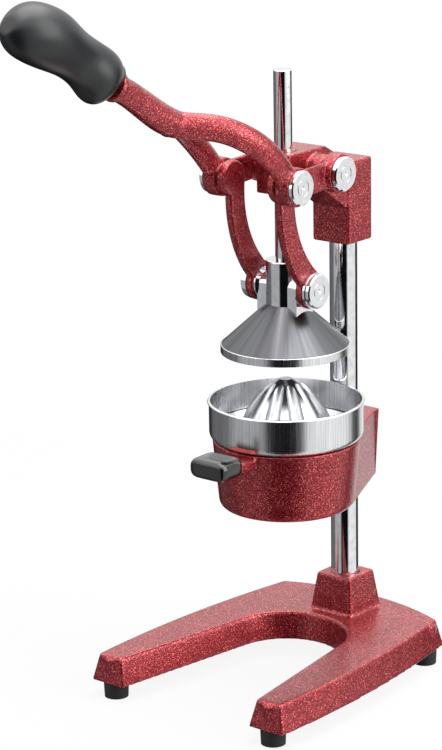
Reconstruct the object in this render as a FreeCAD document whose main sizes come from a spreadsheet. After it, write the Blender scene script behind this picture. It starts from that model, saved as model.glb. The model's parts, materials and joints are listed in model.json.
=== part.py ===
import FreeCAD, Part
import Sketcher
import math
import os

# Lever citrus press. Millimetres, +Z up, +X to the right, the handle points to the front, which is -Y.
# The origin is the middle of the floor under the whole press. Heights count from the floor, and the
# other places count from the axis of the press rod, which stands press_axis_y behind the origin.
SIZES = (
    ("press_axis_y", 90.5, "rod axis, from the middle of the whole press"),
    ("running_fit", 0.05, "gap all round a shaft that turns or slides"),
    ("snug_fit", 0.02, "gap all round a shaft that is fixed"),
    ("face_gap", 0.3, "gap between flat faces that turn past each other"),
    ("overcut", 1.0, "how far a cut runs past the face it starts from or ends at"),
    # Feet and base
    ("foot_height", 12.4, "rubber foot"),
    ("foot_bottom_radius", 9.2, ""),
    ("foot_top_radius", 9.7, ""),
    ("foot_recess_radius", 5.4, "well for the foot screw's head"),
    ("foot_recess_depth", 6.0, ""),
    ("front_foot_x", 76.8, ""),
    ("front_foot_y", -116.6, ""),
    ("rear_foot_x", 71.4, ""),
    ("rear_foot_y", 82.3, ""),
    ("foot_screw_radius", 2.5, "M5 screw"),
    ("foot_screw_head_radius", 4.6, ""),
    ("foot_screw_head_height", 3.0, ""),
    ("foot_screw_length", 16.0, "under the head"),
    ("base_thickness", 21.6, "casting without its feet and socket"),
    ("base_draft", 5.0, "how far the sides lean in over the thickness"),
    ("base_end_draft", 4.0, "the same at the front and back"),
    ("base_wall", 4.5, "side wall at the top of the hollow"),
    ("base_skin", 5.0, "top wall over the hollow"),
    ("prong_tip_y", -126.5, "front end, at the underside"),
    ("prong_outer_x", 92.7, "at the tip"),
    ("prong_inner_x", 61.0, "at the tip"),
    ("base_side_radius", 880.0, "the long bowed sides"),
    ("base_rear_radius", 190.0, "the bowed back"),
    ("base_corner_x", 80.4, "back corner"),
    ("base_corner_y", 95.0, ""),
    ("bay_radius", 43.0, "round end of the bay between the prongs"),
    ("bay_centre_y", -4.0, ""),
    ("base_edge_round", 1.8, ""),
    ("foot_boss_radius", 8.5, "inside the hollow"),
    ("socket_bottom_half", 20.2, "half width of the column socket where it leaves the base"),
    ("socket_top_half", 16.2, ""),
    ("socket_height", 30.0, "above the base"),
    ("socket_edge_round", 2.0, ""),
    ("socket_floor", 6.0, "metal under the column"),
    # Column and its bolt
    ("column_radius", 11.0, "chromed bar"),
    ("column_y", 73.6, "behind the rod axis"),
    ("column_sunk", 8.0, "how far it goes below the base's top face"),
    ("column_chamfer", 1.0, ""),
    ("bolt_radius", 5.0, "M10 bolt from below"),
    ("bolt_length", 34.0, "under the head"),
    ("bolt_clearance", 0.5, "all round, in the base"),
    ("bolt_head_across", 16.0, ""),
    ("bolt_head_height", 6.4, ""),
    ("bolt_washer_radius", 10.5, ""),
    ("bolt_washer_thickness", 2.0, ""),
    # Head casting with the rod guide and the fulcrum
    ("head_bottom", 334.4, "underside of the block on the column"),
    ("head_top", 399.2, ""),
    ("head_half_width", 17.7, ""),
    ("head_front_y", 57.2, "front face of the block"),
    ("head_back_y", 87.0, ""),
    ("guide_half_width", 15.8, "arm that carries the rod guide"),
    ("guide_front_y", -13.8, ""),
    ("guide_bottom", 383.6, ""),
    ("guide_top", 415.6, ""),
    ("guide_roof_y", 31.0, "where the flat top starts to slope down"),
    ("guide_belly_y", 27.0, "where the underside starts to slope down"),
    ("guide_belly_bottom", 363.0, "where that slope meets the block"),
    ("guide_root", 3.0, "how far the arm runs into the block"),
    ("head_edge_round", 1.8, ""),
    ("head_cap_wall", 7.0, "metal over the column's top end"),
    ("fulcrum_y", 18.3, "lever axis"),
    ("fulcrum_z", 399.5, ""),
    ("barrel_radius", 12.6, "round bosses of the head at the lever axis"),
    ("barrel_reach", 28.3, "from the middle plane to a barrel's end"),
    ("bush_wall", 2.0, "bronze bush of the rod guide"),
    ("set_screw_radius", 3.0, "M6"),
    ("set_screw_length", 8.0, ""),
    ("set_screw_socket_across", 3.0, ""),
    ("lower_head_screw", 16.0, "above the block's underside"),
    ("upper_head_screw", 42.0, ""),
    # Cup holder
    ("cup_bottom", 139.7, "underside"),
    ("cup_top", 193.4, "rim that carries the juice bowl"),
    ("cup_top_radius", 56.6, "outside"),
    ("cup_bottom_radius", 52.2, "outside"),
    ("cup_wall", 4.0, ""),
    ("cup_floor", 4.0, ""),
    ("cup_outlet_radius", 24.0, "hole in the floor"),
    ("cup_bottom_round", 6.0, ""),
    ("bracket_half_width", 18.0, "clamp on the column"),
    ("bracket_bottom_back_y", 92.0, "back face at its foot"),
    ("bracket_top_back_y", 96.5, "the back face leans out upwards"),
    ("bracket_flare_y", 89.0, "where the sides start to open towards the cup"),
    ("bracket_bottom", 143.0, ""),
    ("bracket_top", 196.2, ""),
    ("bracket_corner_round", 2.8, ""),
    ("bowl_room", 0.6, "gap between the bowl's rim bead and the bracket"),
    ("tang_half_width", 14.0, "flat tang of the side grip"),
    ("tang_bottom", 183.6, ""),
    ("tang_thickness", 8.2, ""),
    ("tang_reach", 90.0, "from the rod axis to the tang's end"),
    ("side_grip_start", 72.8, "from the rod axis to its near end"),
    ("side_grip_length", 24.5, ""),
    ("side_grip_half_width", 17.0, ""),
    ("side_grip_half_height", 8.0, ""),
    ("side_grip_corner", 6.0, "rounding of its long edges"),
    ("side_grip_lift", 2.2, "how far the grip's middle sits above the tang's"),
    ("side_grip_round", 3.0, "rounding of its far end"),
    # Juice bowl, strainer and reamer
    ("bowl_top", 223.2, "rim"),
    ("bowl_radius", 59.0, "outside of the band"),
    ("bowl_sheet", 1.0, ""),
    ("bowl_bead", 1.1, "radius of the rolled rim"),
    ("bowl_bottom_round", 6.0, ""),
    ("bowl_step_radius", 47.5, "where the floor turns down into the cup"),
    ("bowl_throat_radius", 13.0, "spout, outside"),
    ("bowl_throat_top", 163.0, ""),
    ("bowl_throat_bottom", 134.0, ""),
    ("strainer_radius", 56.6, ""),
    ("strainer_sheet", 1.0, ""),
    ("strainer_lip", 7.0, "height of its upturned edge"),
    ("strainer_hole_radius", 1.5, ""),
    ("strainer_first_row", 3.5, "from the reamer's foot"),
    ("strainer_hole_pitch", 4.4, "between rows"),
    ("strainer_rows", 3, ""),
    ("strainer_spokes", 36, ""),
    ("reamer_radius", 37.0, "at the foot"),
    ("reamer_height", 44.0, ""),
    ("reamer_tip_radius", 5.0, ""),
    ("reamer_skirt", 2.5, "height of the plain foot ring"),
    ("reamer_bow_radius", 63.8, "of the dome's side"),
    ("reamer_flutes", 10, ""),
    ("flute_radius", 7.5, "at the foot"),
    ("flute_tip_radius", 2.6, ""),
    ("flute_length", 66.0, ""),
    ("flute_offset", 5.4, "from the dome's foot to a flute's middle line"),
    ("reamer_stud_radius", 4.0, ""),
    ("reamer_stud_spare", 4.0, "length past the nut"),
    ("reamer_nut_across", 13.0, ""),
    ("reamer_nut_height", 6.0, ""),
    # Press rod, hub and press cone
    ("rod_radius", 7.0, "chromed bar"),
    ("rod_top", 476.4, ""),
    ("rod_chamfer", 0.8, ""),
    ("hub_radius", 14.3, ""),
    ("hub_top", 332.5, ""),
    ("hub_edge_round", 1.0, ""),
    ("lug_half_depth", 10.0, "front to back, and the round top's radius"),
    ("lug_reach", 18.8, "from the middle plane to a lug's outer face"),
    ("cone_rim_radius", 49.3, "outside"),
    ("cone_rim_bottom", 261.2, ""),
    ("cone_rim_height", 6.4, "upright band round the mouth"),
    ("cone_lip", 0.9, "how far the band stands out past the sheet"),
    ("cone_lip_round", 0.5, ""),
    ("cone_band", 2.1, "from the sheet's outside to the mouth's inside"),
    ("cone_top_radius", 14.0, "flat top, outside"),
    ("cone_top", 298.8, ""),
    ("cone_sheet", 1.5, ""),
    ("rod_nut_across", 22.0, ""),
    ("rod_nut_height", 8.0, ""),
    ("rod_washer_thickness", 1.6, ""),
    ("rod_end_proud", 2.0, "rod past its nut"),
    # Links and pivots
    ("crank_y", -33.0, "fork pivot, where the links hang"),
    ("crank_z", 397.5, ""),
    ("lug_z", 312.0, "hub pivot, on the rod axis"),
    ("cap_radius", 13.0, "caps of all the pivots"),
    ("lever_boss_radius", 14.6, "the lever's fork and fulcrum bosses"),
    ("pin_radius", 4.0, "pins of the fork and hub pivots"),
    ("axle_radius", 5.0, "fulcrum axle"),
    ("link_inner_x", 20.3, "inner face"),
    ("link_thickness", 6.6, ""),
    ("link_front_y", 63.1, "centre of the bow's outer edge"),
    ("link_front_z", 382.9, ""),
    ("link_front_radius", 100.4, "outer edge of the bow"),
    ("link_back_radius", 79.4, "inner edge of the bow"),
    ("link_upper_radius", 13.5, "boss at the fork"),
    ("link_lower_radius", 14.2, "boss on the hub pivot"),
    ("link_room", 7.5, "free space round a link's upper boss"),
    ("link_edge_round", 1.6, ""),
    ("cap_thickness", 4.0, ""),
    ("cap_bevel", 0.9, ""),
    ("cap_ring_radius", 6.6, "turned ring on the face"),
    ("cap_ring_width", 0.9, ""),
    ("cap_ring_depth", 0.5, ""),
    ("cap_eye_radius", 1.8, "small hollow in the middle"),
    ("fork_washer_thickness", 1.5, "between fork boss and link"),
    ("fork_washer_radius", 11.8, ""),
    ("fulcrum_washer_radius", 12.0, ""),
    ("hub_washer_radius", 12.6, "between hub lug and link"),
    ("cap_washer_radius", 13.8, "under the caps of the hub pivot"),
    ("cap_washer_thickness", 1.8, ""),
    # Lever
    ("fork_outer_x", 40.2, "outer face of the lever's bosses"),
    ("fulcrum_boss_inner_x", 29.7, ""),
    ("plate_inner_x", 32.6, "flat plates between the fork and the fulcrum"),
    ("plate_outer_x", 36.0, ""),
    ("plate_half_height", 10.3, ""),
    ("lever_slope", 31.0, "degrees, the handle's rise towards its free end"),
    ("collar_y", -188.7, "middle of the collar at the end of the lever grip"),
    ("collar_z", 491.4, ""),
    ("collar_radius", 11.4, ""),
    ("collar_length", 5.4, ""),
    ("spigot_radius", 6.0, "round end inside the grip"),
    ("spigot_length", 80.0, ""),
    ("grip_bore_end_gap", 3.0, ""),
)

# Middle line of the lever's bar and of an arm, from the fork pivots and the middle plane
LEVER_FIELDS = ("forward", "up", "out", "half_height", "half_width")
BAR_STATIONS = (
    ("bar_end", 151.4, 91.3, 0.0, 9.6, 8.6),
    ("bar_neck", 124.0, 75.2, 0.0, 10.2, 9.2),
    ("bar_throat", 99.5, 60.3, 0.0, 10.4, 11.5),
    ("bar_fork", 84.0, 54.5, 0.0, 9.6, 14.0),
)
ARM_STATIONS = (
    ("arm_start", 96.0, 57.8, 3.5, 9.8, 6.8),
    ("arm_root", 81.5, 54.6, 11.5, 9.8, 6.6),
    ("arm_spread", 66.0, 51.2, 20.5, 9.8, 6.3),
    ("arm_shoulder", 51.0, 44.5, 27.6, 9.8, 6.0),
    ("arm_bend", 35.5, 34.6, 32.4, 9.8, 5.8),
    ("arm_shin", 20.5, 22.0, 34.4, 9.8, 5.7),
    ("arm_end", 6.0, 5.0, 34.4, 9.8, 5.6),
)
# Lever grip along its own axis: distance from the collar, upper edge, lower edge, half width
GRIP_FIELDS = ("from_collar", "upper", "lower", "half_width")
GRIP_STATIONS = (
    ("grip_mouth", 0.0, 15.5, -7.6, 9.8),
    ("grip_flange", 8.0, 17.8, -14.4, 13.4),
    ("grip_heel", 17.0, 19.8, -20.8, 16.8),
    ("grip_ankle", 25.0, 20.0, -19.4, 16.6),
    ("grip_waist", 35.0, 20.0, -16.8, 15.0),
    ("grip_swell", 51.0, 20.6, -15.8, 16.2),
    ("grip_palm", 70.0, 23.2, -18.6, 19.4),
    ("grip_shoulder", 89.0, 21.6, -20.9, 19.8),
    ("grip_brow", 103.0, 16.4, -20.2, 15.6),
    ("grip_nose", 111.0, 8.8, -16.6, 10.4),
    ("grip_tip", 115.0, 0.8, -12.6, 4.6),
)


def station_sizes(stations, fields):
    """The rows for the sheet of a table of stations: one alias for each station and field."""
    return [(f"{station[0]}_{field}", size, "") for station in stations
            for field, size in zip(fields, station[1:])]


all_sizes = list(SIZES) + station_sizes(BAR_STATIONS + ARM_STATIONS, LEVER_FIELDS)
all_sizes += station_sizes(GRIP_STATIONS, GRIP_FIELDS)
doc = FreeCAD.newDocument("lever_press")
sheet = doc.addObject("Spreadsheet::Sheet", "dims")
for row, (alias, size, note) in enumerate(all_sizes, start=1):
    sheet.set(f"A{row}", alias)
    sheet.set(f"B{row}", str(size))
    sheet.set(f"C{row}", note)
    sheet.setAlias(f"B{row}", alias)
doc.recompute()

pieces = []
PLANES = {"XY": "XY_Plane", "XZ": "XZ_Plane", "YZ": "YZ_Plane"}
# Two lengths this close count as the same when edges are picked
SLACK = 0.01


def value(formula):
    """The number that a formula on the sheet's sizes gives."""
    return float(sheet.evalExpression(formula))


def bind(thing, formulas):
    """Tie properties of a thing to formulas on the sheet."""
    for name, formula in formulas.items():
        thing.setExpression(name, formula)


def at(thing, x="0", y="0", z="0"):
    """Place a thing, with each coordinate tied to its formula."""
    bind(thing, {"Placement.Base.x": x, "Placement.Base.y": y, "Placement.Base.z": z})


def keep(thing, label, x="0", y="0", z="0"):
    """Name a finished sub-part and stand it in the press, counted from the rod axis."""
    thing.Label = label
    at(thing, x, f"dims.press_axis_y + {y}", z)
    pieces.append(thing)
    return thing


def turned(axis):
    """The rotation that lays a Z shape along an axis."""
    directions = {"X": (1, 0, 0), "-X": (-1, 0, 0), "Y": (0, 1, 0), "-Y": (0, -1, 0), "Z": (0, 0, 1), "-Z": (0, 0, -1)}
    return FreeCAD.Rotation(FreeCAD.Vector(0, 0, 1), FreeCAD.Vector(*directions[axis]))


def cylinder(name, radius, height, axis="Z", x="0", y="0", z="0"):
    thing = doc.addObject("Part::Cylinder", name)
    thing.Placement.Rotation = turned(axis)
    bind(thing, {"Radius": radius, "Height": height})
    at(thing, x, y, z)
    return thing


def cone(name, bottom, top, height, axis="Z", x="0", y="0", z="0"):
    thing = doc.addObject("Part::Cone", name)
    thing.Placement.Rotation = turned(axis)
    bind(thing, {"Radius1": bottom, "Radius2": top, "Height": height})
    at(thing, x, y, z)
    return thing


def hexagon(name, across, height, axis="Z", x="0", y="0", z="0"):
    thing = doc.addObject("Part::Prism", name)
    thing.Polygon = 6
    thing.Placement.Rotation = turned(axis)
    bind(thing, {"Circumradius": f"({across}) / (2 * cos(30 deg))", "Height": height})
    at(thing, x, y, z)
    return thing


def joined(name, things):
    thing = doc.addObject("Part::MultiFuse", name)
    thing.Shapes = things
    return thing


def less(name, base, tool):
    thing = doc.addObject("Part::Cut", name)
    thing.Base = base
    thing.Tool = tool
    return thing


def group(name, things):
    thing = doc.addObject("Part::Compound", name)
    thing.Links = things
    return thing


# Sketches

def new_body(name):
    return doc.addObject("PartDesign::Body", name)


def new_sketch(body, name, plane="XY", offset=None):
    """A sketch on one of the body's own planes, moved along the plane's normal by a formula."""
    sketch = body.newObject("Sketcher::SketchObject", name)
    role = PLANES[plane]
    origin_plane = [feature for feature in body.Origin.OriginFeatures if feature.Role == role][0]
    sketch.AttachmentSupport = [(origin_plane, "")]
    sketch.MapMode = "FlatFace"
    if offset:
        sketch.setExpression("AttachmentOffset.Base.z", offset)
    return sketch


def fix_point(sketch, curve, end, formulas):
    """Tie a point of a sketch to two formulas, its distances from the sketch's origin."""
    for kind, formula in zip(("DistanceX", "DistanceY"), formulas):
        number = sketch.addConstraint(Sketcher.Constraint(kind, -1, 1, curve, end, value(formula)))
        sketch.setExpression(f"Constraints[{number}]", formula)


def fix_radius(sketch, curve, formula):
    number = sketch.addConstraint(Sketcher.Constraint("Radius", curve, value(formula)))
    sketch.setExpression(f"Constraints[{number}]", formula)


def sound(feature):
    """Stop if a feature did not come out."""
    if "Invalid" in feature.State or feature.Shape.isNull() or not feature.Shape.isValid():
        raise RuntimeError(f"{feature.Name} is not sound")
    return feature


def arc_between(start, end, radius, bulge):
    """A minor arc from start to end that bulges to the left (1) or right (-1) of that way."""
    middle = (start + end) * 0.5
    along = end - start
    half = along.Length / 2
    side = FreeCAD.Vector(-along.y, along.x, 0).normalize() * bulge
    rise = radius - math.sqrt(radius * radius - half * half)
    return Part.Arc(start, middle + side * rise, end)


def outline(sketch, corners):
    """A closed outline. Each corner is (x, y) or (x, y, radius, bulge) of the arc to the next corner."""
    points = [FreeCAD.Vector(value(corner[0]), value(corner[1]), 0) for corner in corners]
    curves = []
    starts = []
    for number, corner in enumerate(corners):
        start = points[number]
        end = points[(number + 1) % len(corners)]
        if len(corner) == 2:
            curves.append(sketch.addGeometry(Part.LineSegment(start, end), False))
            starts.append((1, 2))
            continue
        curves.append(sketch.addGeometry(arc_between(start, end, value(corner[2]), corner[3]), False))
        # An arc always runs anticlockwise, so one that bulges right starts at its own first point
        starts.append((1, 2) if corner[3] < 0 else (2, 1))
    for number, corner in enumerate(corners):
        after = (number + 1) % len(corners)
        ends = (curves[number], starts[number][1], curves[after], starts[after][0])
        sketch.addConstraint(Sketcher.Constraint("Coincident", *ends))
        fix_point(sketch, curves[number], starts[number][0], corner[:2])
        if len(corner) > 2:
            fix_radius(sketch, curves[number], corner[2])


def circle(sketch, x, y, radius):
    centre = FreeCAD.Vector(value(x), value(y), 0)
    number = sketch.addGeometry(Part.Circle(centre, FreeCAD.Vector(0, 0, 1), value(radius)), False)
    fix_point(sketch, number, 3, (x, y))
    fix_radius(sketch, number, radius)


def pad(body, sketch, length, both_ways=False, backwards=False):
    feature = body.newObject("PartDesign::Pad", sketch.Name + "_pad")
    feature.Profile = sketch
    if both_ways:
        feature.SideType = "Symmetric"
    feature.Reversed = backwards
    feature.setExpression("Length", length)
    doc.recompute()
    return sound(feature)


def pocket(body, sketch, length=None, both_ways=False, backwards=False):
    """Cut a sketch out of a body, by a length or right through, and see that something was cut."""
    before = body.Shape.Volume
    feature = body.newObject("PartDesign::Pocket", sketch.Name + "_pocket")
    feature.Profile = sketch
    if both_ways:
        feature.SideType = "Symmetric"
    feature.Reversed = backwards
    if length:
        feature.setExpression("Length", length)
    else:
        feature.Type = "ThroughAll"
    doc.recompute()
    if not body.Shape.Volume < before:
        raise RuntimeError(f"{feature.Name} cuts nothing")
    return sound(feature)


def revolve(body, sketch, kind="Revolution"):
    """Turn a sketch's profile round its own vertical axis, added to the body or cut out of it."""
    feature = body.newObject(f"PartDesign::{kind}", sketch.Name + "_turned")
    feature.Profile = sketch
    feature.ReferenceAxis = (sketch, ["V_Axis"])
    feature.Angle = 360
    doc.recompute()
    return sound(feature)


def round_edges(body, radius, chosen, kind="Fillet"):
    """Round or bevel the edges of a body that a test picks."""
    doc.recompute()
    before = body.Tip
    edges = [f"Edge{number}" for number, edge in enumerate(body.Shape.Edges, start=1) if chosen(edge)]
    feature = body.newObject(f"PartDesign::{kind}", f"{body.Name}_{kind.lower()}")
    feature.Base = (before, edges)
    feature.setExpression("Radius" if kind == "Fillet" else "Size", radius)
    doc.recompute()
    return sound(feature)


def middle_of(edge):
    return edge.valueAt((edge.FirstParameter + edge.LastParameter) / 2)


def near(number, formula):
    return abs(number - value(formula)) < SLACK


# Base casting

def base_outline(sketch, inset, end_inset):
    """The base seen from above: two prongs round a bay, bowed sides and a bowed back."""
    tip_y = f"dims.prong_tip_y + ({end_inset})"
    outer_x = f"dims.prong_outer_x - ({inset})"
    inner_x = f"dims.prong_inner_x + ({inset})"
    corner_x = f"dims.base_corner_x - ({inset})"
    corner_y = f"dims.base_corner_y - ({end_inset})"
    bay = value(f"dims.bay_radius + ({inset})")
    bay_y = value("dims.bay_centre_y")
    tip = FreeCAD.Vector(value(inner_x), value(tip_y), 0)
    reach = math.hypot(tip.x, tip.y - bay_y)
    touch_angle = math.atan2(tip.y - bay_y, tip.x) + math.acos(bay / reach)
    touch = FreeCAD.Vector(bay * math.cos(touch_angle), bay_y + bay * math.sin(touch_angle), 0)
    points = {
        "right_outer": FreeCAD.Vector(value(outer_x), tip.y, 0),
        "right_corner": FreeCAD.Vector(value(corner_x), value(corner_y), 0),
    }
    mirror = lambda point: FreeCAD.Vector(-point.x, point.y, 0)
    side_radius = f"dims.base_side_radius - ({inset})"
    rear_radius = f"dims.base_rear_radius - ({inset})"
    line = lambda a, b: sketch.addGeometry(Part.LineSegment(a, b), False)
    right_tip = line(tip, points["right_outer"])
    right_side = sketch.addGeometry(
        arc_between(points["right_outer"], points["right_corner"], value(side_radius), -1), False)
    rear = sketch.addGeometry(
        arc_between(points["right_corner"], mirror(points["right_corner"]), value(rear_radius), -1), False)
    left_side = sketch.addGeometry(
        arc_between(mirror(points["right_corner"]), mirror(points["right_outer"]), value(side_radius), -1), False)
    left_tip = line(mirror(points["right_outer"]), mirror(tip))
    left_inner = line(mirror(tip), mirror(touch))
    bay_top = FreeCAD.Vector(0, bay_y + bay, 0)
    bay_arc = sketch.addGeometry(Part.Arc(touch, bay_top, mirror(touch)), False)
    right_inner = line(touch, tip)
    chain = ((right_tip, 2, right_side, 1), (right_side, 2, rear, 1), (rear, 2, left_side, 1),
             (left_side, 2, left_tip, 1), (left_tip, 2, left_inner, 1), (right_inner, 2, right_tip, 1))
    for link in chain:
        sketch.addConstraint(Sketcher.Constraint("Coincident", *link))
    sketch.addConstraint(Sketcher.Constraint("Tangent", left_inner, 2, bay_arc, 2))
    sketch.addConstraint(Sketcher.Constraint("Tangent", bay_arc, 1, right_inner, 1))
    fix_point(sketch, right_tip, 1, (inner_x, tip_y))
    fix_point(sketch, right_tip, 2, (outer_x, tip_y))
    fix_point(sketch, right_side, 2, (corner_x, corner_y))
    fix_point(sketch, left_side, 1, (f"-({corner_x})", corner_y))
    fix_point(sketch, left_tip, 1, (f"-({outer_x})", tip_y))
    fix_point(sketch, left_tip, 2, (f"-({inner_x})", tip_y))
    fix_radius(sketch, right_side, side_radius)
    fix_radius(sketch, left_side, side_radius)
    fix_radius(sketch, rear, rear_radius)
    fix_radius(sketch, bay_arc, f"dims.bay_radius + ({inset})")
    fix_point(sketch, bay_arc, 3, ("0", "dims.bay_centre_y"))


def square(sketch, half, y):
    outline(sketch, (
        (f"-({half})", f"({y}) - ({half})"), (half, f"({y}) - ({half})"),
        (half, f"({y}) + ({half})"), (f"-({half})", f"({y}) + ({half})")))


def loft(body, name, lower, upper):
    feature = body.newObject("PartDesign::AdditiveLoft", name)
    feature.Profile = lower
    feature.Sections = [upper]
    feature.Ruled = True
    doc.recompute()
    return sound(feature)


FEET = {
    "foot_front_right": ("dims.front_foot_x", "dims.front_foot_y"),
    "foot_front_left": ("-dims.front_foot_x", "dims.front_foot_y"),
    "foot_rear_right": ("dims.rear_foot_x", "dims.rear_foot_y"),
    "foot_rear_left": ("-dims.rear_foot_x", "dims.rear_foot_y"),
}
BASE_TOP = "dims.foot_height + dims.base_thickness"
SOCKET_TOP = f"{BASE_TOP} + dims.socket_height"
COLUMN_BOTTOM = f"{BASE_TOP} - dims.column_sunk"


def make_base():
    body = new_body("base")
    under = new_sketch(body, "base_under", offset="dims.foot_height")
    base_outline(under, "0", "0")
    over = new_sketch(body, "base_over", offset=BASE_TOP)
    base_outline(over, "dims.base_draft", "dims.base_end_draft")
    loft(body, "base_block", under, over)
    low = new_sketch(body, "socket_low", offset=BASE_TOP)
    square(low, "dims.socket_bottom_half", "dims.column_y")
    high = new_sketch(body, "socket_high", offset=SOCKET_TOP)
    square(high, "dims.socket_top_half", "dims.column_y")
    loft(body, "socket_block", low, high)
    base_top = value(BASE_TOP)
    round_edges(body, "dims.socket_edge_round", lambda edge: middle_of(edge).z > base_top + SLACK)
    half = value("dims.socket_bottom_half + dims.overcut")
    column_y = value("dims.column_y")

    def is_outer_edge(edge):
        point = middle_of(edge)
        beside_socket = abs(point.x) < half and abs(point.y - column_y) < half
        return value("dims.foot_height") + SLACK < point.z < base_top + SLACK and not beside_socket

    round_edges(body, "dims.base_edge_round", is_outer_edge)
    hollow = new_sketch(body, "base_hollow", offset="dims.foot_height")
    base_outline(hollow, "dims.base_draft + dims.base_wall",
                 "dims.base_end_draft + dims.base_wall")
    pocket(body, hollow, "dims.base_thickness - dims.base_skin", backwards=True)
    bosses = new_sketch(body, "foot_bosses", offset="dims.foot_height")
    for x, y in FEET.values():
        circle(bosses, x, y, "dims.foot_boss_radius")
    pad(body, bosses, "dims.base_thickness - dims.base_skin / 2")
    seat = new_sketch(body, "column_seat", offset=f"{COLUMN_BOTTOM} - dims.socket_floor")
    square(seat, "dims.socket_bottom_half", "dims.column_y")
    pad(body, seat, "dims.column_sunk + dims.socket_floor - dims.base_skin / 2")
    holes = new_sketch(body, "foot_screw_holes", offset="dims.foot_height")
    for x, y in FEET.values():
        circle(holes, x, y, "dims.foot_screw_radius + dims.snug_fit")
    pocket(body, holes, "dims.foot_screw_length", backwards=True)
    bore = new_sketch(body, "column_bore", offset=SOCKET_TOP)
    circle(bore, "0", "dims.column_y", "dims.column_radius + dims.snug_fit")
    pocket(body, bore, "dims.socket_height + dims.column_sunk")
    bolt_hole = new_sketch(body, "bolt_hole", offset=SOCKET_TOP)
    circle(bolt_hole, "0", "dims.column_y", "dims.bolt_radius + dims.bolt_clearance")
    pocket(body, bolt_hole)
    keep(body, "base")


def make_feet():
    for label, (x, y) in FEET.items():
        rubber = cone(label + "_rubber", "dims.foot_bottom_radius", "dims.foot_top_radius", "dims.foot_height")
        well = cylinder(label + "_well", "dims.foot_recess_radius", "dims.foot_recess_depth")
        hole = cylinder(label + "_hole", "dims.foot_screw_radius + dims.snug_fit", "dims.foot_height")
        keep(less(label, rubber, joined(label + "_inside", [well, hole])), label, x, y)
    screws = []
    for label, (x, y) in FEET.items():
        screw_z = "dims.foot_recess_depth - dims.foot_screw_head_height"
        head = cylinder(label + "_screw_head", "dims.foot_screw_head_radius", "dims.foot_screw_head_height",
                        x=x, y=y, z=screw_z)
        shank = cylinder(label + "_screw_shank", "dims.foot_screw_radius", "dims.foot_screw_length",
                         x=x, y=y, z=f"{screw_z} + dims.foot_screw_head_height")
        screws.append(joined(label + "_screw", [head, shank]))
    keep(group("foot_screws", screws), "foot_screws")


def make_column():
    body = new_body("column")
    column_top = "dims.head_top - dims.head_cap_wall"
    section = new_sketch(body, "column_section", offset=COLUMN_BOTTOM)
    circle(section, "0", "0", "dims.column_radius")
    pad(body, section, f"{column_top} - ({COLUMN_BOTTOM})")
    round_edges(body, "dims.column_chamfer", lambda edge: True, "Chamfer")
    tapping = new_sketch(body, "column_tapping", offset=COLUMN_BOTTOM)
    circle(tapping, "0", "0", "dims.bolt_radius + dims.snug_fit")
    pocket(body, tapping, "dims.bolt_length", backwards=True)
    keep(body, "column", y="dims.column_y")
    washer_top = f"{COLUMN_BOTTOM} - dims.socket_floor"
    washer_bottom = f"{washer_top} - dims.bolt_washer_thickness"
    ring = cylinder("bolt_washer_ring", "dims.bolt_washer_radius", "dims.bolt_washer_thickness")
    hole = cylinder("bolt_washer_hole", "dims.bolt_radius + dims.bolt_clearance", "dims.bolt_washer_thickness")
    keep(less("column_bolt_washer", ring, hole), "column_bolt_washer", y="dims.column_y", z=washer_bottom)
    head = hexagon("bolt_head", "dims.bolt_head_across", "dims.bolt_head_height")
    shank = cylinder("bolt_shank", "dims.bolt_radius", "dims.bolt_length", z="dims.bolt_head_height")
    keep(joined("column_bolt", [head, shank]), "column_bolt", y="dims.column_y",
         z=f"{washer_bottom} - dims.bolt_head_height")


def set_screw(label, x, y, z):
    """A socket set screw lying front to back, with its socket to the rear."""
    shank = cylinder(label + "_shank", "dims.set_screw_radius", "dims.set_screw_length", "Y")
    socket = hexagon(label + "_socket", "dims.set_screw_socket_across", "dims.set_screw_length / 2", "Y",
                     y="dims.set_screw_length / 2")
    screw = less(label, shank, socket)
    at(screw, x, y, z)
    return screw


HEAD_SCREW_HEIGHTS = ("dims.head_bottom + dims.lower_head_screw", "dims.head_bottom + dims.upper_head_screw")
COLUMN_BACK = "dims.column_y + dims.column_radius + dims.snug_fit"


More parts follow.
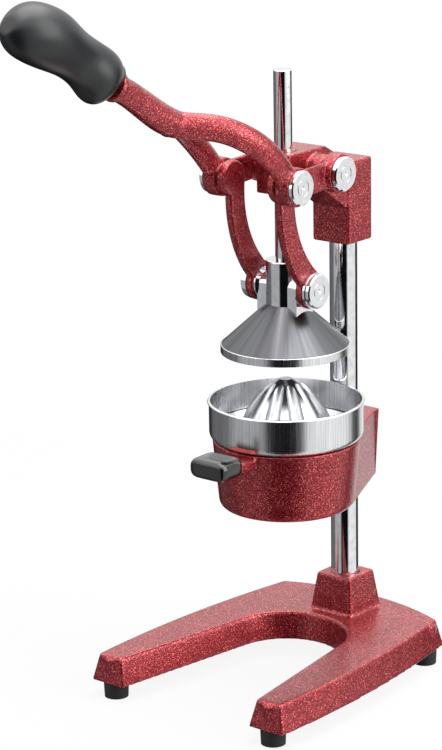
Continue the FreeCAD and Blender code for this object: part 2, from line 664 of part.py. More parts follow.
def make_head():
    body = new_body("head")
    block = new_sketch(body, "head_block", "YZ")
    outline(block, (
        ("dims.head_front_y", "dims.head_bottom"), ("dims.head_back_y", "dims.head_bottom"),
        ("dims.head_back_y", "dims.head_top"), ("dims.head_front_y", "dims.head_top")))
    pad(body, block, "2 * dims.head_half_width", both_ways=True)
    arm = new_sketch(body, "guide_arm", "YZ")
    root = "dims.head_front_y + dims.guide_root"
    outline(arm, (
        ("dims.guide_front_y", "dims.guide_bottom"), ("dims.guide_belly_y", "dims.guide_bottom"),
        ("dims.head_front_y", "dims.guide_belly_bottom"), (root, "dims.guide_belly_bottom"),
        (root, "dims.head_top"), ("dims.guide_roof_y", "dims.guide_top"),
        ("dims.guide_front_y", "dims.guide_top")))
    pad(body, arm, "2 * dims.guide_half_width", both_ways=True)
    block_edges = value("dims.head_half_width")
    round_edges(body, "dims.head_edge_round",
                lambda edge: abs(middle_of(edge).x) > block_edges - SLACK
                or near(middle_of(edge).y, "dims.head_back_y") or near(middle_of(edge).y, "dims.guide_front_y"))
    barrels = new_sketch(body, "fulcrum_barrels", "YZ")
    circle(barrels, "dims.fulcrum_y", "dims.fulcrum_z", "dims.barrel_radius")
    pad(body, barrels, "2 * dims.barrel_reach", both_ways=True)
    axle_bore = new_sketch(body, "axle_bore", "YZ")
    circle(axle_bore, "dims.fulcrum_y", "dims.fulcrum_z", "dims.axle_radius + dims.snug_fit")
    pocket(body, axle_bore, "2 * (dims.barrel_reach + dims.overcut)", both_ways=True)
    rod_bore = new_sketch(body, "guide_bore", offset="dims.guide_top + dims.overcut")
    circle(rod_bore, "0", "0", "dims.rod_radius + dims.running_fit + dims.bush_wall + dims.snug_fit")
    pocket(body, rod_bore, "dims.guide_top - dims.guide_bottom + 2 * dims.overcut")
    socket = new_sketch(body, "head_socket", offset="dims.head_bottom")
    circle(socket, "0", "dims.column_y", "dims.column_radius + dims.snug_fit")
    pocket(body, socket, "dims.head_top - dims.head_bottom - dims.head_cap_wall", backwards=True)
    tappings = new_sketch(body, "head_tappings", "XZ", offset="-dims.head_back_y")
    for height in HEAD_SCREW_HEIGHTS:
        circle(tappings, "0", height, "dims.set_screw_radius + dims.snug_fit")
    pocket(body, tappings, "dims.head_back_y - dims.column_y", backwards=True)
    keep(body, "head")
    screws = [set_screw(f"head_screw_{number}", "0", COLUMN_BACK, height)
              for number, height in enumerate(HEAD_SCREW_HEIGHTS, start=1)]
    keep(group("head_set_screws", screws), "head_set_screws")
    bush_outer = "dims.rod_radius + dims.running_fit + dims.bush_wall"
    outer = cylinder("bush_outer", bush_outer, "dims.guide_top - dims.guide_bottom")
    inner = cylinder("bush_inner", "dims.rod_radius + dims.running_fit", "dims.guide_top - dims.guide_bottom")
    keep(less("rod_guide_bush", outer, inner), "rod_guide_bush", z="dims.guide_bottom")


def bracket_outline(sketch, back_y):
    """The clamp seen from above: straight sides at the back that open out until they touch the cup."""
    reach = "sqrt(dims.bracket_flare_y^2 + dims.bracket_half_width^2)"
    turn = (f"(atan2(dims.bracket_flare_y; dims.bracket_half_width)"
            f" - acos(dims.cup_bottom_radius / {reach}))")
    touch_x = f"dims.cup_bottom_radius * cos{turn}"
    touch_y = f"dims.cup_bottom_radius * sin{turn}"
    wide = "dims.bracket_half_width"
    corner = "dims.bracket_corner_round"
    near_corner = f"({wide} - {corner})"
    outline(sketch, (
        (near_corner, back_y), (f"-{near_corner}", back_y, corner, -1), (f"-{wide}", f"{back_y} - {corner}"),
        (f"-{wide}", "dims.bracket_flare_y"), (f"-{touch_x}", touch_y), (touch_x, touch_y),
        (wide, "dims.bracket_flare_y"), (wide, f"{back_y} - {corner}", corner, -1)))


def make_cup_holder():
    body = new_body("cup_holder")
    low = new_sketch(body, "bracket_low", offset="dims.bracket_bottom")
    bracket_outline(low, "dims.bracket_bottom_back_y")
    high = new_sketch(body, "bracket_high", offset="dims.bracket_top")
    bracket_outline(high, "dims.bracket_top_back_y")
    loft(body, "bracket_block", low, high)
    tang = new_sketch(body, "tang_plan", offset="dims.tang_bottom")
    outline(tang, (
        ("-dims.tang_half_width", "-dims.tang_reach"), ("dims.tang_half_width", "-dims.tang_reach"),
        ("dims.tang_half_width", "-dims.cup_bottom_radius / 2"),
        ("-dims.tang_half_width", "-dims.cup_bottom_radius / 2")))
    pad(body, tang, "dims.tang_thickness")
    wall = new_sketch(body, "cup_outside", "XZ")
    outline(wall, (("0", "dims.cup_bottom"),
                   ("dims.cup_bottom_radius - dims.cup_bottom_round", "dims.cup_bottom", "dims.cup_bottom_round", -1),
                   ("dims.cup_bottom_radius", "dims.cup_bottom + dims.cup_bottom_round"),
                   ("dims.cup_top_radius", "dims.cup_top"), ("0", "dims.cup_top")))
    revolve(body, wall)
    hollow = new_sketch(body, "cup_inside", "XZ")
    floor = "dims.cup_bottom + dims.cup_floor"
    below = "dims.cup_bottom - dims.overcut"
    outline(hollow, (
        ("0", below), ("dims.cup_outlet_radius", below),
        ("dims.cup_outlet_radius", floor), ("dims.cup_bottom_radius - dims.cup_wall", floor),
        ("dims.cup_top_radius - dims.cup_wall", "dims.cup_top"), ("0", "dims.cup_top")))
    revolve(body, hollow, "Groove")
    room = new_sketch(body, "bowl_room", offset="dims.cup_top")
    circle(room, "0", "0", "dims.bowl_radius + dims.bowl_bead + dims.bowl_room")
    pocket(body, room, "dims.bracket_top - dims.cup_top + dims.overcut", backwards=True)
    bore = new_sketch(body, "bracket_bore", offset="dims.bracket_top + dims.overcut")
    circle(bore, "0", "dims.column_y", "dims.column_radius + dims.snug_fit")
    pocket(body, bore, "dims.bracket_top - dims.bracket_bottom + 2 * dims.overcut")
    tapping = new_sketch(body, "bracket_tapping", "XZ", offset="-dims.bracket_top_back_y")
    middle = "(dims.cup_top + dims.bracket_bottom) / 2"
    circle(tapping, "0", middle, "dims.set_screw_radius + dims.snug_fit")
    pocket(body, tapping, "dims.bracket_top_back_y - dims.column_y", backwards=True)
    keep(body, "cup_holder")
    keep(set_screw("cup_set_screw", "0", "0", "0"), "cup_set_screw", y=COLUMN_BACK, z=middle)


def make_side_grip():
    body = new_body("side_grip")
    section = new_sketch(body, "side_grip_section", "XZ", offset="dims.side_grip_start")
    middle = "dims.tang_bottom + dims.tang_thickness / 2 + dims.side_grip_lift"
    wide = "dims.side_grip_half_width"
    flat = "(dims.side_grip_half_width - dims.side_grip_corner)"
    top = f"{middle} + dims.side_grip_half_height"
    bottom = f"{middle} - dims.side_grip_half_height"
    high = f"{top} - dims.side_grip_corner"
    low = f"{bottom} + dims.side_grip_corner"
    corner = "dims.side_grip_corner"
    outline(section, (
        (f"-{flat}", bottom), (flat, bottom, corner, -1), (wide, low), (wide, high, corner, -1),
        (flat, top), (f"-{flat}", top, corner, -1), (f"-{wide}", high), (f"-{wide}", low, corner, -1)))
    pad(body, section, "dims.side_grip_length")
    end_y = value("-dims.side_grip_start - dims.side_grip_length")
    round_edges(body, "dims.side_grip_round", lambda edge: middle_of(edge).y < end_y + SLACK)
    slot = new_sketch(body, "side_grip_slot", "XZ", offset="dims.side_grip_start")
    half = "dims.tang_half_width + dims.snug_fit"
    low = "dims.tang_bottom - dims.snug_fit"
    high = "dims.tang_bottom + dims.tang_thickness + dims.snug_fit"
    outline(slot, ((f"-({half})", low), (half, low), (half, high), (f"-({half})", high)))
    pocket(body, slot, "dims.tang_reach - dims.side_grip_start + dims.face_gap", backwards=True)
    keep(body, "side_grip")


def make_bowl():
    body = new_body("juice_bowl")
    section = new_sketch(body, "bowl_section", "XZ")
    rim = "dims.bowl_top"
    foot = "dims.cup_top"
    inside = "dims.bowl_radius - dims.bowl_sheet"
    turn = "dims.bowl_bottom_round"
    inner_turn = "dims.bowl_bottom_round - dims.bowl_sheet"
    floor = "dims.cup_top + dims.bowl_sheet"
    outline(section, (
        ("dims.bowl_step_radius", foot),
        (f"dims.bowl_radius - {turn}", foot, turn, -1),
        ("dims.bowl_radius", f"{foot} + {turn}"),
        ("dims.bowl_radius", f"{rim} - dims.bowl_bead"),
        ("dims.bowl_radius + dims.bowl_bead", f"{rim} - dims.bowl_bead", "dims.bowl_bead", -1),
        ("dims.bowl_radius", rim),
        (inside, rim),
        (inside, f"{foot} + {turn}", inner_turn, 1),
        (f"dims.bowl_radius - {turn}", floor),
        ("dims.bowl_step_radius - dims.bowl_sheet", floor),
        ("dims.bowl_throat_radius - dims.bowl_sheet", "dims.bowl_throat_top"),
        ("dims.bowl_throat_radius - dims.bowl_sheet", "dims.bowl_throat_bottom"),
        ("dims.bowl_throat_radius", "dims.bowl_throat_bottom"),
        ("dims.bowl_throat_radius", "dims.bowl_throat_top - dims.bowl_sheet"),
    ))
    revolve(body, section)
    keep(body, "juice_bowl")


STRAINER_BOTTOM = "dims.cup_top + dims.bowl_sheet"
REAMER_BOTTOM = f"{STRAINER_BOTTOM} + dims.strainer_sheet"


def make_strainer():
    body = new_body("strainer")
    section = new_sketch(body, "strainer_section", "XZ")
    rise = "dims.bowl_bottom_round"
    edge = f"dims.bowl_radius - {rise} - dims.face_gap"
    hole = "dims.reamer_stud_radius + dims.running_fit"
    outline(section, (
        (hole, STRAINER_BOTTOM), (edge, STRAINER_BOTTOM),
        ("dims.strainer_radius", f"{STRAINER_BOTTOM} + dims.strainer_lip"),
        ("dims.strainer_radius - dims.strainer_sheet", f"{STRAINER_BOTTOM} + dims.strainer_lip"),
        (f"{edge} - dims.strainer_sheet / 2", REAMER_BOTTOM), (hole, REAMER_BOTTOM)))
    revolve(body, section)
    row = new_sketch(body, "strainer_row", offset=REAMER_BOTTOM)
    for number in range(int(value("dims.strainer_rows"))):
        from_axis = f"dims.reamer_radius + dims.strainer_first_row + dims.strainer_hole_pitch * {number}"
        circle(row, from_axis, "0", "dims.strainer_hole_radius")
    holes = pocket(body, row, "2 * dims.strainer_sheet")
    spokes = body.newObject("PartDesign::PolarPattern", "strainer_spokes")
    spokes.Originals = [holes]
    spokes.Axis = (row, ["N_Axis"])
    spokes.Angle = 360
    spokes.setExpression("Occurrences", "dims.strainer_spokes")
    body.Tip = spokes
    doc.recompute()
    keep(body, "strainer")


def make_reamer():
    """A fluted dome with a stud that goes down through the strainer to its nut."""
    body = new_body("reamer_dome")
    section = new_sketch(body, "reamer_section", "XZ")
    foot = REAMER_BOTTOM
    top = f"{foot} + dims.reamer_height"
    shoulder = f"{foot} + dims.reamer_skirt"
    outline(section, (
        ("0", foot), ("dims.reamer_radius", foot), ("dims.reamer_radius", shoulder, "dims.reamer_bow_radius", -1),
        ("dims.reamer_tip_radius", top), ("0", top)))
    revolve(body, section)
    flutes = int(value("dims.reamer_flutes"))
    slope = math.atan2(value("dims.reamer_radius - dims.reamer_tip_radius"), value("dims.reamer_height"))
    cutters = []
    for number in range(flutes):
        around = 2 * math.pi * number / flutes
        cutter = doc.addObject("Part::Cone", f"flute_{number + 1}")
        bind(cutter, {"Radius1": "dims.flute_radius", "Radius2": "dims.flute_tip_radius",
                      "Height": "dims.flute_length"})
        reach = value("dims.reamer_radius + dims.flute_offset")
        direction = FreeCAD.Vector(-math.sin(slope) * math.cos(around), -math.sin(slope) * math.sin(around),
                                   math.cos(slope))
        cutter.Placement = FreeCAD.Placement(
            FreeCAD.Vector(reach * math.cos(around), reach * math.sin(around), value(shoulder)),
            FreeCAD.Rotation(FreeCAD.Vector(0, 0, 1), direction))
        cutters.append(cutter)
    fluted = less("reamer_fluted", body, joined("reamer_cutters", cutters))
    stud_length = "dims.reamer_nut_height + dims.strainer_sheet + dims.reamer_stud_spare"
    stud = cylinder("reamer_stud", "dims.reamer_stud_radius", f"{stud_length} + dims.reamer_skirt",
                    z=f"{foot} - ({stud_length})")
    keep(joined("reamer", [fluted, stud]), "reamer")
    nut = hexagon("reamer_nut_hexagon", "dims.reamer_nut_across", "dims.reamer_nut_height")
    hole = cylinder("reamer_nut_hole", "dims.reamer_stud_radius + dims.snug_fit", "dims.reamer_nut_height")
    keep(less("reamer_nut", nut, hole), "reamer_nut", z=f"{STRAINER_BOTTOM} - dims.reamer_nut_height")


# Press rod, hub and press cone

CONE_RIM_TOP = "dims.cone_rim_bottom + dims.cone_rim_height"
CONE_FOOT_RADIUS = "dims.cone_rim_radius - dims.cone_lip"
WASHER_TOP = "dims.cone_top - dims.cone_sheet"
NUT_TOP = f"{WASHER_TOP} - dims.rod_washer_thickness"
ROD_BOTTOM = f"{NUT_TOP} - dims.rod_nut_height - dims.rod_end_proud"


def make_rod():
    body = new_body("press_rod")
    section = new_sketch(body, "rod_section", offset=ROD_BOTTOM)
    circle(section, "0", "0", "dims.rod_radius")
    pad(body, section, f"dims.rod_top - ({ROD_BOTTOM})")
    round_edges(body, "dims.rod_chamfer", lambda edge: True, "Chamfer")
    keep(body, "press_rod")
    ring = cylinder("rod_washer_ring", "dims.rod_nut_across / 2", "dims.rod_washer_thickness")
    hole = cylinder("rod_washer_hole", "dims.rod_radius + dims.snug_fit", "dims.rod_washer_thickness")
    keep(less("cone_washer", ring, hole), "cone_washer", z=NUT_TOP)
    nut = hexagon("rod_nut_hexagon", "dims.rod_nut_across", "dims.rod_nut_height")
    bore = cylinder("rod_nut_hole", "dims.rod_radius + dims.snug_fit", "dims.rod_nut_height")
    keep(less("cone_nut", nut, bore), "cone_nut", z=f"{NUT_TOP} - dims.rod_nut_height")


def make_cone():
    body = new_body("press_cone")
    section = new_sketch(body, "cone_section", "XZ")
    mouth = f"{CONE_FOOT_RADIUS} - dims.cone_band"
    hole = "dims.rod_radius + dims.snug_fit"
    outline(section, (
        (hole, WASHER_TOP),
        ("dims.cone_top_radius - dims.cone_sheet", WASHER_TOP),
        (mouth, CONE_RIM_TOP),
        (mouth, "dims.cone_rim_bottom"),
        ("dims.cone_rim_radius", "dims.cone_rim_bottom"),
        ("dims.cone_rim_radius", CONE_RIM_TOP),
        (CONE_FOOT_RADIUS, CONE_RIM_TOP),
        ("dims.cone_top_radius", "dims.cone_top"),
        (hole, "dims.cone_top")))
    revolve(body, section)
    rim = value("dims.cone_rim_radius")
    round_edges(body, "dims.cone_lip_round",
                lambda edge: isinstance(edge.Curve, Part.Circle) and abs(edge.Curve.Radius - rim) < SLACK)
    keep(body, "press_cone")


def make_hub():
    body = new_body("hub")
    barrel = new_sketch(body, "hub_barrel", offset="dims.cone_top")
    circle(barrel, "0", "0", "dims.hub_radius")
    pad(body, barrel, "dims.hub_top - dims.cone_top")
    lugs = new_sketch(body, "hub_lugs", "YZ")
    half = "dims.lug_half_depth"
    outline(lugs, (
        (f"-{half}", "dims.lug_z", half, 1), ("0", f"dims.lug_z + {half}", half, 1), (half, "dims.lug_z"),
        (half, CONE_RIM_TOP), (f"-{half}", CONE_RIM_TOP)))
    pad(body, lugs, "2 * dims.lug_reach", both_ways=True)
    round_edges(body, "dims.hub_edge_round", lambda edge: near(middle_of(edge).z, "dims.hub_top"))
    under = new_sketch(body, "hub_under", "XZ")
    below = "dims.cone_rim_bottom - dims.overcut"
    outline(under, (
        ("0", "dims.cone_top"), ("dims.cone_top_radius", "dims.cone_top"),
        (CONE_FOOT_RADIUS, CONE_RIM_TOP), (CONE_FOOT_RADIUS, below), ("0", below)))
    revolve(body, under, "Groove")
    bore = new_sketch(body, "hub_bore", offset="dims.hub_top + dims.overcut")
    circle(bore, "0", "0", "dims.rod_radius + dims.snug_fit")
    pocket(body, bore, "dims.hub_top - dims.cone_rim_bottom")
    pins = new_sketch(body, "hub_pin_bores", "YZ")
    circle(pins, "0", "dims.lug_z", "dims.pin_radius + dims.snug_fit")
    pocket(body, pins, "2 * (dims.lug_reach + dims.overcut)", both_ways=True)
    keep(body, "hub")


# Pivots

SIDES = {"right": 1, "left": -1}
LINK_OUTER = "dims.link_inner_x + dims.link_thickness"
FORK_INNER = f"{LINK_OUTER} + dims.face_gap + dims.fork_washer_thickness"
CAP_BORE = "dims.cap_thickness / 2"


def out(side):
    return "X" if side > 0 else "-X"


def ring(label, side, outer, inner, thickness, near_x, y, z):
    """A flat washer beside the middle plane, with its near face at near_x."""
    body = cylinder(label + "_ring", outer, thickness, out(side))
    hole = cylinder(label + "_hole", inner, thickness, out(side))
    keep(less(label, body, hole), label, f"{side} * ({near_x})", y, z)


def cap(label, side, near_x, y, z, pin):
    """A turned cap: bevelled rim, a ring turned in its face, a small eye and a blind bore for the pin."""
    body = new_body(label)
    section = new_sketch(body, label + "_section", "XZ")
    face = "dims.cap_thickness"
    inner = "dims.cap_ring_radius - dims.cap_ring_width"
    deep = f"{face} - dims.cap_ring_depth"
    outline(section, (
        (f"{pin} + dims.snug_fit", "0"), ("dims.cap_radius - dims.cap_bevel / 2", "0"),
        ("dims.cap_radius", "dims.cap_bevel / 2"), ("dims.cap_radius", f"{face} - dims.cap_bevel"),
        ("dims.cap_radius - dims.cap_bevel", face), ("dims.cap_ring_radius", face),
        ("dims.cap_ring_radius", deep), (inner, deep), (inner, face), ("dims.cap_eye_radius", face),
        ("0", f"{face} - dims.cap_eye_radius / 2"), ("0", CAP_BORE), (f"{pin} + dims.snug_fit", CAP_BORE)))
    revolve(body, section)
    body.Placement.Rotation = turned(out(side))
    keep(body, label, f"{side} * ({near_x})", y, z)


def pin(label, side, radius, start_x, end_x, y, z):
    keep(cylinder(label, radius, f"({end_x}) - ({start_x})", out(side)), label, f"{side} * ({start_x})", y, z)


def make_pivots():
    fulcrum = ("dims.fulcrum_y", "dims.fulcrum_z")
    crank = ("dims.crank_y", "dims.crank_z")
    lug = ("0", "dims.lug_z")
    bore = "dims.pin_radius + dims.snug_fit"
    fulcrum_cap_x = "dims.fork_outer_x + dims.face_gap"
    keep(cylinder("fulcrum_axle", "dims.axle_radius", f"2 * ({fulcrum_cap_x} + {CAP_BORE})", "X"),
         "fulcrum_axle", f"-({fulcrum_cap_x} + {CAP_BORE})", *fulcrum)
    lug_washer_x = "dims.lug_reach"
    lug_washer = "dims.link_inner_x - dims.face_gap - dims.lug_reach"
    cap_washer_x = f"{LINK_OUTER} + dims.face_gap"
    lug_cap_x = f"{cap_washer_x} + dims.cap_washer_thickness"
    fork_washer_x = f"{LINK_OUTER} + dims.face_gap"
    fulcrum_washer = "dims.fulcrum_boss_inner_x - dims.face_gap - dims.barrel_reach"
    for name, side in SIDES.items():
        cap(f"fulcrum_cap_{name}", side, fulcrum_cap_x, *fulcrum, "dims.axle_radius")
        ring(f"fulcrum_washer_{name}", side, "dims.fulcrum_washer_radius", "dims.axle_radius + dims.snug_fit",
             fulcrum_washer, "dims.barrel_reach", *fulcrum)
        cap(f"fork_cap_{name}", side, "dims.fork_outer_x", *crank, "dims.pin_radius")
        ring(f"fork_washer_{name}", side, "dims.fork_washer_radius", bore, "dims.fork_washer_thickness",
             fork_washer_x, *crank)
        pin(f"fork_pin_{name}", side, "dims.pin_radius", fork_washer_x, f"dims.fork_outer_x + {CAP_BORE}", *crank)
        ring(f"hub_washer_{name}", side, "dims.hub_washer_radius", bore, lug_washer, lug_washer_x, *lug)
        ring(f"hub_cap_washer_{name}", side, "dims.cap_washer_radius", bore, "dims.cap_washer_thickness",
             cap_washer_x, *lug)
        cap(f"hub_cap_{name}", side, lug_cap_x, *lug, "dims.pin_radius")
        pin(f"hub_pin_{name}", side, "dims.pin_radius", "dims.rod_radius + dims.face_gap", f"{lug_cap_x} + {CAP_BORE}", *lug)


def meeting(first, first_radius, second, second_radius, turn):
    """Where two circles cross, on the left (1) or right (-1) of the way from first to second."""
    way = second - first
    apart = way.Length
    along = (apart ** 2 + first_radius ** 2 - second_radius ** 2) / (2 * apart)
    aside = math.sqrt(first_radius ** 2 - along ** 2)
    unit = way.normalize()
    return first + unit * along + FreeCAD.Vector(-unit.y, unit.x, 0) * aside * turn


def bowed_outline(sketch):
    """A link seen from its side: two round bosses joined by a bow, whose hollow edge runs smoothly into both."""
    upper = FreeCAD.Vector(value("dims.crank_y"), value("dims.crank_z"), 0)
    lower = FreeCAD.Vector(0, value("dims.lug_z"), 0)
    upper_radius = value("dims.link_upper_radius")
    lower_radius = value("dims.link_lower_radius")
    back_radius = value("dims.link_back_radius")
    front_radius = value("dims.link_front_radius")
    front = FreeCAD.Vector(value("dims.link_front_y"), value("dims.link_front_z"), 0)
    back = meeting(upper, back_radius + upper_radius, lower, back_radius + lower_radius, 1)
    upper_touch = back + (upper - back).normalize() * back_radius
    lower_touch = back + (lower - back).normalize() * back_radius
    upper_front = meeting(upper, upper_radius, front, front_radius, -1)
    lower_front = meeting(lower, lower_radius, front, front_radius, 1)
    upper_far = upper * 2 - (upper_touch + upper_front) * 0.5
    lower_far = lower * 2 - (lower_touch + lower_front) * 0.5
    bow_middle = (upper + lower) * 0.5
    arcs = (
        (upper_touch, upper + (upper_far - upper).normalize() * upper_radius, upper_front),
        (upper_front, front + (bow_middle - front).normalize() * front_radius, lower_front),
        (lower_front, lower + (lower_far - lower).normalize() * lower_radius, lower_touch),
        (upper_touch, back + (bow_middle - back).normalize() * back_radius, lower_touch),
    )
    top, fore, low, hind = [sketch.addGeometry(Part.Arc(*points), False) for points in arcs]
    sketch.addConstraint(Sketcher.Constraint("Tangent", top, 1, hind, 1))
    sketch.addConstraint(Sketcher.Constraint("Tangent", low, 2, hind, 2))
    sketch.addConstraint(Sketcher.Constraint("Coincident", top, 2, fore, 1))
    sketch.addConstraint(Sketcher.Constraint("Coincident", fore, 2, low, 1))
    fix_point(sketch, top, 3, ("dims.crank_y", "dims.crank_z"))
    fix_point(sketch, fore, 3, ("dims.link_front_y", "dims.link_front_z"))
    fix_point(sketch, low, 3, ("0", "dims.lug_z"))
    fix_radius(sketch, top, "dims.link_upper_radius")
    fix_radius(sketch, fore, "dims.link_front_radius")
    fix_radius(sketch, low, "dims.link_lower_radius")
    fix_radius(sketch, hind, "dims.link_back_radius")


def make_links():
    """Two bowed links, flat castings with a round boss at each end."""
    for name, side in SIDES.items():
        label = f"link_{name}"
        start = "dims.link_inner_x" if side > 0 else f"-({LINK_OUTER})"
        body = new_body(label)
        bow = new_sketch(body, label + "_bow", "YZ", offset=start)
        bowed_outline(bow)
        pad(body, bow, "dims.link_thickness")
        middle = value(f"{side} * (dims.link_inner_x + dims.link_thickness / 2)")
        round_edges(body, "dims.link_edge_round",
                    lambda edge: abs(abs(middle_of(edge).x - middle) - value("dims.link_thickness / 2")) < SLACK)
        bore = new_sketch(body, label + "_bore", "YZ", offset=start)
        circle(bore, "0", "dims.lug_z", "dims.pin_radius + dims.running_fit")
        pocket(body, bore, "dims.link_thickness", backwards=True)
        outer = LINK_OUTER if side > 0 else f"-({LINK_OUTER})"
        socket = new_sketch(body, label + "_socket", "YZ", offset=outer)
        circle(socket, "dims.crank_y", "dims.crank_z", "dims.pin_radius + dims.running_fit")
        pocket(body, socket, "dims.link_thickness / 2", backwards=side < 0)
        keep(body, label)


# Lever: a bar that forks into two arms, each ending in a boss and a flat plate back to the fulcrum


def oval(name, half_height, half_width):
    """An upright ellipse with its two half sizes tied to formulas, and the turn that stands it upright."""
    ellipse = doc.addObject("Part::Ellipse", name)
    tall = value(half_height) >= value(half_width)
    major, minor = (half_height, half_width) if tall else (half_width, half_height)
    bind(ellipse, {"MajorRadius": major, "MinorRadius": minor})
    return ellipse, 90 if tall else 0


def station_centre(name, side):
    """The middle of a station, and the formulas for it, counted from the rod axis."""
    formulas = (f"{side} * dims.{name}_out", f"dims.crank_y - dims.{name}_forward",
                f"dims.crank_z + dims.{name}_up")
    return FreeCAD.Vector(*[value(formula) for formula in formulas]), formulas


def lofted(name, stations, side):
    """A solid through ovals set square to the line through the stations' middles."""
    centres = [station_centre(station[0], side) for station in stations]
    ovals = []
    for number, (centre, formulas) in enumerate(centres):
        before = centres[max(number - 1, 0)][0]
        after = centres[min(number + 1, len(centres) - 1)][0]
        ahead = (after - before).normalize()
        across = ahead.cross(FreeCAD.Vector(0, 0, 1)).normalize()
        rise = across.cross(ahead).normalize()
        station = f"dims.{stations[number][0]}"
        ellipse, turn = oval(f"{name}_oval_{number + 1}", f"{station}_half_height", f"{station}_half_width")
        level = FreeCAD.Rotation(across, rise, ahead, "ZXY")
        ellipse.Placement.Rotation = level * FreeCAD.Rotation(FreeCAD.Vector(0, 0, 1), turn)
        at(ellipse, *formulas)
        ovals.append(ellipse)
    solid = doc.addObject("Part::Loft", name)
    solid.Sections = ovals
    solid.Solid = True
    solid.Ruled = False
    doc.recompute()
    return solid


def make_lever():
    pivot = FreeCAD.Vector(0, value("dims.crank_y"), value("dims.crank_z"))
    parts = [lofted("lever_bar", BAR_STATIONS, 0)]
    for name, side in SIDES.items():
        parts.append(lofted(f"lever_arm_{name}", ARM_STATIONS, side))
        parts.append(cylinder(f"fork_boss_{name}", "dims.lever_boss_radius", f"dims.fork_outer_x - ({FORK_INNER})",
                              out(side), f"{side} * ({FORK_INNER})", "dims.crank_y", "dims.crank_z"))
        parts.append(cylinder(f"fulcrum_boss_{name}", "dims.lever_boss_radius",
                              "dims.fork_outer_x - dims.fulcrum_boss_inner_x", out(side),
                              f"{side} * dims.fulcrum_boss_inner_x", "dims.fulcrum_y", "dims.fulcrum_z"))
        plate = doc.addObject("Part::Box", f"lever_plate_{name}")
        run = (value("dims.fulcrum_y - dims.crank_y"), value("dims.fulcrum_z - dims.crank_z"))
        bind(plate, {"Length": "dims.plate_outer_x - dims.plate_inner_x",
                     "Width": "sqrt((dims.fulcrum_y - dims.crank_y)^2 + (dims.fulcrum_z - dims.crank_z)^2)",
                     "Height": "2 * dims.plate_half_height"})
        tilt = math.atan2(run[1], run[0])
        near_x = value("dims.plate_inner_x" if side > 0 else "-dims.plate_outer_x")
        half = value("dims.plate_half_height")
        corner = FreeCAD.Vector(near_x, pivot.y + half * math.sin(tilt), pivot.z - half * math.cos(tilt))
        plate.Placement = FreeCAD.Placement(
            corner, FreeCAD.Rotation(FreeCAD.Vector(1, 0, 0), math.degrees(tilt)))
        parts.append(plate)
    slope = value("dims.lever_slope")
    back_to_bar = FreeCAD.Rotation(FreeCAD.Vector(1, 0, 0), 90 - slope)
    along = back_to_bar.multVec(FreeCAD.Vector(0, 0, 1))
    collar_centre = FreeCAD.Vector(0, value("dims.collar_y"), value("dims.collar_z"))
    collar = doc.addObject("Part::Cylinder", "lever_collar")
    bind(collar, {"Radius": "dims.collar_radius", "Height": "dims.collar_length"})
    collar.Placement = FreeCAD.Placement(collar_centre - along * value("dims.collar_length"), back_to_bar)
    spigot = doc.addObject("Part::Cylinder", "lever_spigot")
    bind(spigot, {"Radius": "dims.spigot_radius", "Height": "dims.spigot_length"})
    spigot.Placement = FreeCAD.Placement(collar_centre - along, back_to_bar)
    casting = joined("lever_casting", parts + [collar, spigot])
    pin_bore = cylinder("lever_pin_bore", "dims.pin_radius + dims.snug_fit", "4 * dims.fork_outer_x", "X",
                        "-2 * dims.fork_outer_x", "dims.crank_y", "dims.crank_z")
    axle_bore = cylinder("lever_axle_bore", "dims.axle_radius + dims.running_fit", "4 * dims.fork_outer_x", "X",
                         "-2 * dims.fork_outer_x", "dims.fulcrum_y", "dims.fulcrum_z")
    link_room = []
    for name, side in SIDES.items():
        link_room.append(cylinder(f"link_room_{name}", "dims.link_upper_radius + dims.link_room",
                                  f"{FORK_INNER} + dims.link_inner_x", out(side),
                                  f"-{side} * dims.link_inner_x", "dims.crank_y", "dims.crank_z"))
    keep(less("lever", casting, joined("lever_bores", [pin_bore, axle_bore] + link_room)), "lever")


def make_lever_grip():
    slope = value("dims.lever_slope")
    back_to_bar = FreeCAD.Rotation(FreeCAD.Vector(1, 0, 0), 90 - slope)
    ovals = []
    for number, station in enumerate(GRIP_STATIONS, start=1):
        place = f"dims.{station[0]}"
        ellipse, turn = oval(f"grip_oval_{number}", f"({place}_upper - {place}_lower) / 2", f"{place}_half_width")
        ellipse.Placement.Rotation = FreeCAD.Rotation(FreeCAD.Vector(0, 0, 1), turn)
        at(ellipse, "0", f"({place}_upper + {place}_lower) / 2", f"{place}_from_collar")
        ovals.append(ellipse)
    solid = doc.addObject("Part::Loft", "grip_solid")
    solid.Sections = ovals
    solid.Solid = True
    solid.Ruled = False
    bore = cylinder("grip_bore", "dims.spigot_radius + dims.snug_fit",
                    "dims.spigot_length + dims.grip_bore_end_gap")
    grip = less("lever_grip", solid, bore)
    grip.Placement.Rotation = back_to_bar
    keep(grip, "lever_grip", y="dims.collar_y", z="dims.collar_z")


make_base()
make_feet()
make_column()
make_head()
make_cup_holder()
make_side_grip()
make_bowl()
make_strainer()
make_reamer()
make_rod()
make_cone()
make_hub()
make_pivots()
make_links()
make_lever()
make_lever_grip()
doc.recompute()

for thing in doc.Objects:
    if "Invalid" in thing.State or "Error" in thing.State:
        raise RuntimeError(f"{thing.Name} is {thing.State}")
for piece in pieces:
    if piece.Shape.isNull() or not piece.Shape.isValid():
        raise RuntimeError(f"{piece.Label} has no valid shape")

os.makedirs("parts", exist_ok=True)
for piece in pieces:
    piece.Shape.exportStep(f"parts/{piece.Label}.step")
print(len(pieces), "sub-parts written")
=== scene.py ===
import bpy
import json
import math
from mathutils import Matrix, Vector


